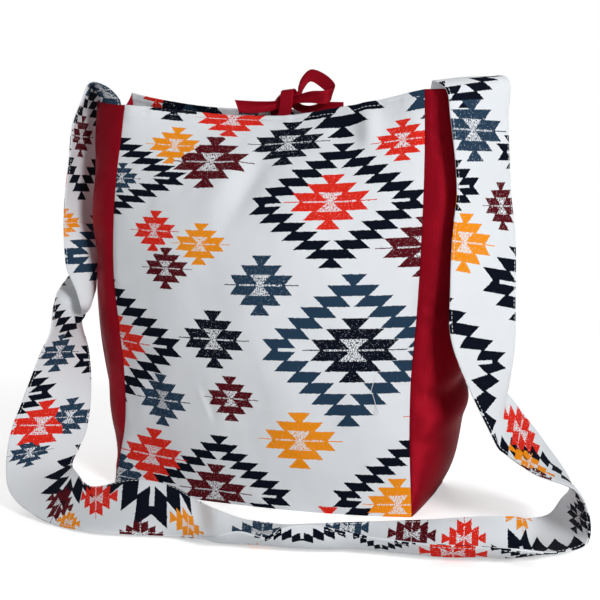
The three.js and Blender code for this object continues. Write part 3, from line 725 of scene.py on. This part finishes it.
INSIDE_MEDALLIONS = [
    ("navy", -12, 441, 25, 15), ("orange", 46, 507, 20, 34), ("red", 19, 564, 17, 18),
    ("maroon", 22, 607, 22, 20), ("slate", 30, 661, 24, 18), ("slate", 15, 734, 25, 25),
    ("orange", -12, 814, 27, 20), ("maroon", -38, 858, 17, 18), ("red", 15, 901, 28, 20),
    ("orange", -30, 928, 16, 12), ("maroon", -10, 946, 24, 17), ("slate", -15, 1029, 20, 14),
    ("red", -10, 1056, 30, 28), ("slate", 17, 1064, 22, 18), ("slate", -12, 1134, 26, 20),
    ("maroon", 12, 60, 30, 22), ("orange", -14, 130, 30, 24), ("slate", 14, 205, 30, 24),
    ("red", -12, 281, 30, 22), ("maroon", 16, 356, 28, 20), ("orange", -12, 1258, 30, 22),
    ("red", 14, 1328, 30, 22), ("slate", -10, 1413, 30, 24)]
OUTSIDE_RINGS = [
    ("navy", -18, -5, 76, 53), ("navy", 95, 87, 76, 55), ("navy", -84, 118, 76, 55),
    ("navy", 102, 203, 104, 76), ("navy", -78, 278, 104, 74), ("navy", -46, 388, 60, 80),
    ("navy", -46, 693, 24, 63), ("navy", 8, 1368, 62, 60), ("slate", -38, 1247, 82, 62),
    ("navy", 40, 516, 76, 55), ("navy", 50, 846, 76, 55), ("navy", -50, 996, 76, 55),
    ("navy", 60, 1116, 76, 55), ("navy", -46, 628, 24, 40), ("navy", -48, 514, 24, 50)]
INSIDE_RINGS = [
    ("navy", -76, 514, 104, 96), ("navy", 121, 850, 150, 95), ("navy", 90, 957, 104, 124),
    ("navy", -80, 1094, 75, 52), ("navy", 88, 1124, 75, 55), ("navy", 2, 1205, 76, 56),
    ("navy", -50, 200, 76, 55), ("navy", 60, 296, 76, 55), ("navy", -40, 396, 70, 50),
    ("navy", 60, 1333, 76, 55), ("navy", -50, 686, 76, 52)]


def both_faces(outside, inside):
    """The motifs of the strap's two faces in one list, each with the number of its face."""
    return [(*motif, OUTSIDE_FACE) for motif in outside] + [(*motif, INSIDE_FACE) for motif in inside]


def bent_rows(middle, across, toward, bends):
    """Rows of points across the strap: from the middle each half leaves along the direction across and bends
    toward one side, in an arc by its own angle in degrees."""
    bend = np.radians(np.where(RAILS < 0, bends[:, :1], bends[:, 1:]))
    bend = np.where(bend == 0, 1e-6, bend)
    radius = STRAP_WIDTH / 2 / bend
    reach = radius * np.sin(2 * RAILS * bend)
    rise = radius * (1 - np.cos(2 * RAILS * bend))
    return middle[:, None] + reach[..., None] * across[:, None] + rise[..., None] * toward[:, None]


def strap_stations(side, table):
    """Hanging stations: a middle placed off the bag's side, front and height, the direction across and,
    where the strap is cupped, how far its two halves bend."""
    place = np.array([row[0] for row in table], float)
    across = unit(np.array([row[1] for row in table], float))
    bends = np.array([row[2] if len(row) > 2 else (0, 0) for row in table], float)
    middle = np.stack([side * PANEL_WIDTH / 2 + place[:, 0], place[:, 1] - BASE_DEPTH / 2,
                       place[:, 2] * SIDE_HEIGHT + place[:, 3]], -1)
    return bent_rows(middle, across, np.cross(across, (0, 0, 1)), bends)


def floor_stations(side, table):
    """Stations on the floor, off the bag's side and front: the direction across and the halves' bends up."""
    place = np.array([row[0] for row in table], float)
    across = unit(np.array([(*row[1], 0) for row in table], float))
    bends = np.array([row[2] for row in table], float)
    middle = np.stack([side * PANEL_WIDTH / 2 + place[:, 0], place[:, 1] - BASE_DEPTH / 2,
                       np.full(len(place), STRAP_THICKNESS / 2 + STRAP_SEAT)], -1)
    return bent_rows(middle, across, np.broadcast_to((0, 0, 1.0), middle.shape), bends)


def distances(path):
    """How far along a path each of its points lies: the running sum of its steps."""
    return np.concatenate([[0], np.cumsum(np.linalg.norm(np.diff(path, axis=0), axis=1))])


def at_distances(where, walked, values):
    """Points or directions that belong to a path, taken at other distances along it."""
    return np.stack([np.interp(where, walked, values[:, i]) for i in range(3)], -1)


def strap_end(at, direction, height, inward):
    """Row of the strap along the top edge of a gusset, counted back from its front seam; inward moves it in.
    On the left the strap has turned over, so its other edge is in front."""
    s = np.linspace(0, 1, EDGE_SAMPLES)
    s = s if direction > 0 else 1 - s
    edge = at(s, np.ones_like(s))
    row = at_distances(STRAP_INSET + (0.5 + direction * RAILS) * STRAP_WIDTH, distances(edge), edge)
    return (row + (-direction * inward, 0, height))[None]


def through(points, at):
    """Smooth curve through points along the first axis, at positions counted in points: a cubic per span,
    its slopes from the neighbours, weighed by the square roots of their distances."""
    ends = np.concatenate([[2 * points[0] - points[1]], points, [2 * points[-1] - points[-2]]])
    i = np.clip(np.floor(at).astype(int), 0, len(points) - 2)
    w = (at - i).reshape((-1,) + (1,) * (points.ndim - 1))
    a, b, c, d = ends[i], ends[i + 1], ends[i + 2], ends[i + 3]
    ab, bc, cd = [np.linalg.norm(q - p, axis=-1, keepdims=True) ** 0.5 for p, q in ((a, b), (b, c), (c, d))]
    leave = ((b - a) / ab - (c - a) / (ab + bc) + (c - b) / bc) * bc
    arrive = ((c - b) / bc - (d - b) / (bc + cd) + (d - c) / cd) * bc
    square = 3 * (c - b) - 2 * leave - arrive
    cube = 2 * (b - c) + leave + arrive
    return b + leave * w + square * w ** 2 + cube * w ** 3


PATH_SAMPLES = 20            # for each point of a path that is measured


def even_positions(points, step):
    """Positions in a row of points that lie one step apart along the curve through them, and its length."""
    dense = np.linspace(0, len(points) - 1, PATH_SAMPLES * len(points))
    path = through(points, dense)
    walked = distances(path)
    return np.interp(np.linspace(0, walked[-1], int(walked[-1] / step) + 1), walked, dense), walked[-1]


strap_rows = np.concatenate([
    *[strap_end(right_at, 1, height, inward) for height, inward in STRAP_LEAVES],
    strap_stations(1, STRAP_RIGHT), floor_stations(1, STRAP_FLOOR),
    floor_stations(-1, STRAP_LEFT_FLOOR), strap_stations(-1, STRAP_LEFT),
    *[strap_end(left_at, -1, height, inward) for height, inward in STRAP_LEAVES[::-1]]])
middle_rail = list(RAILS).index(0)
positions, strap_length = even_positions(strap_rows[:, middle_rail], GRID_STEP)
across_mm = spaced(STRAP_WIDTH, NARROW_STEP)
rails_along = np.swapaxes(through(strap_rows, positions), 0, 1)
between_rails = np.interp(across_mm / STRAP_WIDTH - 0.5, RAILS, np.arange(len(RAILS)))
strap_middle = np.swapaxes(through(rails_along, between_rails), 0, 1)
strap_along = np.linspace(-STRAP_SEWN, strap_length - STRAP_SEWN, len(positions))
u, v = np.meshgrid(across_mm, strap_along)
near = np.minimum(u, STRAP_WIDTH - u)
rise, wave = STRAP_WAVES
strap_relief = rise * waver(u, v, wave, STRAP_TURN) * np.clip(near / STRAP_FIRM, 0, 1)
strap_middle += normals(strap_middle) * strap_relief[..., None]
press, press_width = STRAP_GROOVE
strap_thick = STRAP_THICKNESS * (1 - press * np.exp(-((near - STRAP_STITCH) / press_width) ** 2))
strap_thick *= rounded(u, STRAP_WIDTH) * rounded(v + STRAP_SEWN, strap_length)
strap_medallions = both_faces(OUTSIDE_MEDALLIONS, INSIDE_MEDALLIONS)
strap_print = printed_cloth("strap_print", strap_medallions, both_faces(OUTSIDE_RINGS, INSIDE_RINGS), 0.0)
strap = cloth_piece("strap_cloth", strap_middle, strap_thick, u - STRAP_WIDTH / 2, v, strap_print)
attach(strap, "root")
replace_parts(strap, "shoulder_strap")

# Ties: two flat crimson ribbons. The front one is sewn outside the front hem, goes once round the knot and
# off to the right; the back one is sewn inside the back hem, makes the bow's one loop and ends at the left.
TIE_WIDTH = 13.0
TIE_THICKNESS = 1.0
TIE_OFFSET = 10.0            # right of the hem's middle
TIE_SEAT = 0.5               # clear of the cloth it is sewn to
TIE_TAB = 7.0                # how far down the hem it is sewn
TIE_STEP = 1.0
GATHERED = 0.85 * TIE_WIDTH
KNOT_WIDTH = 8.0
KNOT_RISE = 17.0
KNOT_DEPTH = 6.0
KNOT_FOOT = -4.0             # height of its foot, from its middle
OVER_HEM = 0.6               # share of the way from the hem to the knot's foot
CHANNEL = 0.3
CHANNEL_ROUND = 2.0
RIBBON = (0.45, 0.45, 0.3)
WALL_STEP = 0.02
TAIL_RIGHT = 55.0
TAIL_LEFT = 49.0
TAIL_DROP = 10.0
LOOP_REACH = 47.0
LOOP_RISE = 22.0
tie_share = 0.5 + TIE_OFFSET / PANEL_WIDTH
back_share = 1 - tie_share + TIE_WIDTH / PANEL_WIDTH
tab_share = 1 - TIE_TAB / SIDE_HEIGHT
tie_lift = (CLOTH + HEM_EXTRA + TIE_THICKNESS) / 2 + TIE_SEAT
loop = np.array([LOOP_REACH, KNOT_DEPTH, LOOP_RISE])         # the way from the knot to each far end
left_tail = np.array([-TAIL_LEFT, KNOT_DEPTH, -TAIL_DROP])
right_tail = np.array([TAIL_RIGHT, KNOT_DEPTH, -TAIL_DROP])


def on_wall(at, s, t, lift):
    """Point at (s, t) of a wall, moved off it by lift, and the wall's direction across there."""
    grid = at(*np.meshgrid(s + WALL_STEP * np.array([-1, 0, 1]), t + WALL_STEP * np.array([-1, -0.5, 0])))
    return grid[-1, 1] + normals(grid)[-1, 1] * lift, grid[-1, 2] - grid[-1, 0]


front_hem = front_at(np.array(tie_share), np.array(1.0))
back_hem = back_at(np.array(1 - tie_share), np.array(1.0))
knot = np.array([front_hem[0], (front_hem[1] + back_hem[1]) / 2, front_hem[2] + KNOT_RISE])
front_tab, front_across = on_wall(front_at, tie_share, tab_share, tie_lift)
front_edge, front_edge_across = on_wall(front_at, tie_share, 1.0, tie_lift)
back_tab, back_across = on_wall(back_at, back_share, tab_share, -tie_lift)
back_edge, back_edge_across = on_wall(back_at, back_share, 1.0, -tie_lift)
over_hem = front_edge + OVER_HEM * (knot + (0, -KNOT_DEPTH, KNOT_FOOT) - front_edge)
FRONT_TIE = [
    (front_tab, front_across, TIE_WIDTH), (front_edge, front_edge_across, TIE_WIDTH),
    (over_hem, (1, 0, 0), TIE_WIDTH), (knot + (0, -KNOT_DEPTH, 1), (1, 0, 0), TIE_WIDTH),
    (knot + (0, -0.7 * KNOT_DEPTH, 7), (1, 0, 0), TIE_WIDTH), (knot + (0, 0, 9.5), (1, 0, 0.1), TIE_WIDTH),
    (knot + (0.5, 0.75 * KNOT_DEPTH, 7), (1, 0, 0.2), TIE_WIDTH),
    (knot + (1.5, KNOT_DEPTH, 1), (1, 0, 0.4), TIE_WIDTH),
    (knot + right_tail * (0.13, 1, 0.6), (0.75, 0, 0.65), KNOT_WIDTH),
    (knot + right_tail * (0.35, 0.6, 1), (0.3, 0, 0.95), KNOT_WIDTH),
    (knot + right_tail * (0.65, 0, 0.9), (0, 0.2, 1), GATHERED),
    (knot + right_tail * (1, -0.3, 1), (0, 0.3, 1), TIE_WIDTH)]
BACK_TIE = [
    (back_tab, -back_across, TIE_WIDTH), (back_edge, -back_edge_across, TIE_WIDTH),
    (knot + left_tail * (0.22, 0.75, 0), (0.8, 0, -0.6), KNOT_WIDTH),
    (knot + (-0.12 * TAIL_LEFT, 0.42 * KNOT_DEPTH, 0.14 * LOOP_RISE), (0.5, 0, -0.85), KNOT_WIDTH),
    (knot + loop * (0, 0.27, 0.15), (0, 0, -1), KNOT_WIDTH),
    (knot + loop * (0.19, 0.33, 0.2), (0, 0, -1), KNOT_WIDTH),
    (knot + loop * (0.25, 0.83, 0.68), (0.35, -0.3, -0.88), GATHERED),
    (knot + loop * (0.41, 1.33, 1.05), (0.1, -0.35, -0.93), TIE_WIDTH),
    (knot + loop * (0.68, 1.1, 0.82), (-0.35, -0.3, -0.88), TIE_WIDTH),
    (knot + loop * (0.95, -0.2, 0.25), (-0.3, -0.1, -0.95), TIE_WIDTH),
    (knot + loop * (0.85, -1.5, 0.02), (0, 0.1, -1), TIE_WIDTH),
    (knot + loop * (0.55, -1.33, 0.05), (0, 0.1, -1), GATHERED),
    (knot + loop * (0.23, -0.5, 0), (0, 0, -1), KNOT_WIDTH),
    (knot + left_tail * (0, -0.37, 0.1), (0, 0, -1), KNOT_WIDTH),
    (knot + left_tail * (0.22, -0.67, 0.5), (0, 0, -1), KNOT_WIDTH),
    (knot + left_tail * (0.53, -1.33, 0.7), (0.1, 0.1, -1), GATHERED),
    (knot + left_tail * (1, -1.83, 0.6), (0.3, 0.1, -0.95), TIE_WIDTH)]
ribbon = crimson_cloth("crimson_ribbon", *RIBBON)


def tie_piece(name, stations):
    """A ribbon carried through its stations, each a middle, a direction across and a width. Where it is
    drawn narrower than it was cut, it is folded up into a soft channel."""
    middle = np.array([row[0] for row in stations])
    across = unit(np.array([row[1] for row in stations], float))
    wide = np.array([row[2] for row in stations])
    edges = middle[:, None] + np.array([-0.5, 0, 0.5])[:, None] * (across * wide[:, None])[:, None]
    positions, length = even_positions(edges[:, 1], TIE_STEP)
    rails = through(edges, positions)
    along = np.linspace(0, length, len(positions))
    u, v = np.meshgrid(spaced(TIE_WIDTH, TIE_STEP), along)
    share = u / TIE_WIDTH
    grid = rails[:, :1] + (rails[:, 2:] - rails[:, :1]) * share[..., None]
    drawn = np.linalg.norm(rails[:, 2] - rails[:, 0], axis=1)[:, None]
    spare = np.sqrt(np.clip(TIE_WIDTH ** 2 - drawn ** 2, 0, None))
    channel = CHANNEL * spare * hump(share, CHANNEL_ROUND)
    grid += normals(grid) * (channel - 0.5 * channel.max(axis=1, keepdims=True))[..., None]
    thick = TIE_THICKNESS * rounded(u, TIE_WIDTH)
    piece = cloth_piece(name, grid, thick, u, v, ribbon)
    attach(piece, "root")
    return piece


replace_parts(tie_piece("front_tie_ribbon", FRONT_TIE), "front_tie")
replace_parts(tie_piece("back_tie_ribbon", BACK_TIE), "back_tie")

# Stitching: single rows of white thread, sunk a little into the cloth. One holds each hem down, and one runs
# along each edge of the strap and shows on both faces. One thread end has come loose on the front.
THREAD = 0.3                 # radius
LOOSE_THREAD = [
    (125, 127), (123.5, 120), (122, 113), (124, 108), (125.5, 103), (127, 97.5), (128.5, 94.5), (127, 92),
    (125, 93.5), (126, 96.5)]
LOOSE_LIFT = 0.6
LOOSE_POINTS = 80
STITCH_LONG = 3.0
STITCH_PITCH = 3.9
STITCH_START = 0.75          # pitches from the row's end
STITCH_SIDES = 6
STITCH_POINTS = np.array([-1, -0.7, 0, 0.7, 1])      # shares of half its length
STITCH_RISE = 0.35           # in radii, at its middle
STITCH_DIP = 1.1             # and down from there at its ends,
STITCH_TAPER = 0.4           # where it is thinner by this share
THREAD_FINISH = (0.5, 0.7, 0.0)
THREAD_DULL = colour(214, 218, 224)
THREAD_WHITE = colour(244, 246, 248)
FIBRE_SCALE = 0.7


def tubes(at, out, radius):
    """Points and quads of six-sided tubes of thread along paths, each point with a way out and a radius."""
    count, long = at.shape[:2]
    side = unit(np.cross(np.gradient(at, axis=1), out))
    turn = 2 * np.pi * np.arange(STITCH_SIDES) / STITCH_SIDES
    ring = np.cos(turn)[:, None] * side[:, :, None] + np.sin(turn)[:, None] * out[:, :, None]
    points = at[:, :, None] + radius[:, None, None] * ring
    index = np.arange(count * long * STITCH_SIDES).reshape(count, long, STITCH_SIDES)
    after = np.roll(index, -1, axis=2)
    tube = np.stack([index[:, :-1], after[:, :-1], after[:, 1:], index[:, 1:]], -1).reshape(-1, 4)
    caps = np.concatenate([index[:, 0][:, [3, 2, 1, 0]], index[:, 0][:, [5, 4, 3, 0]],
                           index[:, -1][:, [0, 1, 2, 3]], index[:, -1][:, [0, 3, 4, 5]]])
    return points.reshape(-1, 3), np.concatenate([tube, caps])


def stitch_row(path, out):
    """Stitches along a path on a cloth: each a short bar of thread that rises out of it and dips back."""
    walked = distances(path)
    count = int(walked[-1] / STITCH_PITCH) - 1
    bend = np.abs(STITCH_POINTS) ** 3
    where = (np.arange(count)[:, None] + STITCH_START) * STITCH_PITCH + STITCH_POINTS * STITCH_LONG / 2
    up = at_distances(where, walked, out)
    at = at_distances(where, walked, path) + up * (THREAD * (STITCH_RISE - STITCH_DIP * bend))[:, None]
    return tubes(at, up, THREAD * (1 - STITCH_TAPER * bend))


def loose_end():
    """The loose thread: a smooth curve through its places on the front, lying a little off the cloth."""
    u, v = through(np.array(LOOSE_THREAD), np.linspace(0, len(LOOSE_THREAD) - 1, LOOSE_POINTS)).T
    share = u / PRINT_WIDTH + 0.5
    relief = panel_relief(share * FRONT_CUT[0], v, FRONT_CUT[0], FRONT_FOLDS, FRONT_TURN)
    path = front_at(share, v / SIDE_HEIGHT)
    path[:, 1] -= relief + CLOTH / 2 + LOOSE_LIFT
    return tubes(path[None], np.broadcast_to((0, -1.0, 0), path[None].shape), np.full(len(path), THREAD))


def stitching(name, rows, material):
    """One piece from several rows of stitches."""
    points, quads, count = [], [], 0
    for row_points, row_quads in rows:
        points.append(row_points)
        quads.append(row_quads + count)
        count += len(row_points)
    points = np.concatenate(points)
    piece = mesh_piece(name, points, np.concatenate(quads), points, material)
    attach(piece, "root")


def on_face(middle, thick, column=None, row=None, side=1):
    """Path along a column or a row of a grid, on its outer (1) or inner (-1) face, and its way out."""
    out = normals(middle) * side
    face = middle + out * thick[..., None] / 2
    return (face[:, column], out[:, column]) if row is None else (face[row], out[row])


thread, fibre = cloth_material("white_thread")
woven(thread, fibre, fibre.noise(FIBRE_SCALE).mix("RGBA", THREAD_DULL, THREAD_WHITE), *THREAD_FINISH)
stitching("hem_stitching", [stitch_row(*on_face(front_middle, front_thick, row=hem_row)),
                            stitch_row(*on_face(back_middle, back_thick, row=hem_row)), loose_end()], thread)
edges = [int(np.argmin(np.abs(across_mm - d))) for d in (STRAP_STITCH, STRAP_WIDTH - STRAP_STITCH)]
stitching("strap_stitching", [stitch_row(*on_face(strap_middle, strap_thick, column=edge, side=side))
                              for edge in edges for side in (1, -1)], thread)

# Studio: a pale seamless floor that keeps the bag's shadow and turns plain white further off, a soft lamp in
# front to the right, weaker ones in front to the left, overhead and behind, and an even white surround.
FLOOR = 6.0                  # metres, as all of the studio
SHADOW_ENDS = (0.5, 1.5)     # from the bag's middle: the shadow starts to fade, and is gone
FLOOR_GLOW = 0.5
FLOOR_PALE = colour(245, 245, 245)
SURROUND = 0.12
WHITE = (1, 1, 1, 1)
BAG_MIDDLE = (0, 0, 0.2)
floor_mesh = bpy.data.meshes.new("floor")
corners = [(-FLOOR, -FLOOR, 0), (FLOOR, -FLOOR, 0), (FLOOR, FLOOR, 0), (-FLOOR, FLOOR, 0)]
floor_mesh.from_pydata(corners, [], [(0, 1, 2, 3)])
floor = bpy.data.objects.new("floor", floor_mesh)
bpy.context.scene.collection.objects.link(floor)
floor_material = bpy.data.materials.new("floor")
spot = empty_nodes(floor_material).node("ShaderNodeTexCoord", {}, {}, "Object")
camera_ray = spot.node("ShaderNodeLightPath", {}, {}, "Is Camera Ray")
distance = spot.vector("LENGTH", out=1)
away = spot.node("ShaderNodeMapRange", {"interpolation_type": "SMOOTHSTEP"},
                 {"Value": distance, "From Min": SHADOW_ENDS[0], "From Max": SHADOW_ENDS[1]})
matt = spot.node("ShaderNodeBsdfDiffuse", {}, {"Color": FLOOR_PALE})
glow = spot.node("ShaderNodeEmission", {}, {"Color": WHITE, "Strength": FLOOR_GLOW})
bright = spot.node("ShaderNodeAddShader", {}, {0: matt, 1: glow})
near_floor = spot.node("ShaderNodeMixShader", {}, {0: camera_ray, 1: matt, 2: bright})
white = spot.node("ShaderNodeEmission", {}, {"Color": WHITE, "Strength": 1.0})
surface = spot.node("ShaderNodeMixShader", {}, {0: away * camera_ray, 1: near_floor, 2: white})
spot.node("ShaderNodeOutputMaterial", {}, {"Surface": surface})
floor_mesh.materials.append(floor_material)

world = bpy.data.worlds.new("surround")
bpy.context.scene.world = world
seen = empty_nodes(world).node("ShaderNodeLightPath", {}, {}, "Is Camera Ray")
dim = seen.node("ShaderNodeBackground", {}, {"Color": WHITE, "Strength": SURROUND})
plain = seen.node("ShaderNodeBackground", {}, {"Color": WHITE, "Strength": 1.0})
surround = seen.node("ShaderNodeMixShader", {}, {0: seen, 1: dim, 2: plain})
seen.node("ShaderNodeOutputWorld", {}, {"Surface": surround})


def lamp(name, location, size, watts):
    """Square soft lamp at a place, turned to face the bag's middle."""
    light = bpy.data.lights.new(name, "AREA")
    light.size = size
    light.energy = watts
    made = bpy.data.objects.new(name, light)
    made.location = location
    direction = Vector(BAG_MIDDLE) - made.location
    made.rotation_euler = direction.to_track_quat("-Z", "Y").to_euler()
    bpy.context.scene.collection.objects.link(made)


lamp("key", (1.95, -1.6, 1.25), 0.7, 48)
lamp("fill", (-1.6, -2.0, 0.7), 0.9, 7)
lamp("top", (-0.3, -0.6, 2.2), 1.6, 4)
lamp("back", (-1.2, 2.2, 1.3), 1.6, 34)

# Camera: stands to the right of the front at the height of the bag's upper half and looks slightly down.
camera_data = bpy.data.cameras.new("camera")
camera_data.sensor_width = 36
camera_data.lens = 65.52
camera = bpy.data.objects.new("camera", camera_data)
camera.location = (0.351, -1.014, 0.283)
camera.rotation_euler = np.radians((84.82, 0, 17.8))
bpy.context.scene.collection.objects.link(camera)
bpy.context.scene.camera = camera
bpy.context.scene.view_settings.view_transform = "Standard"
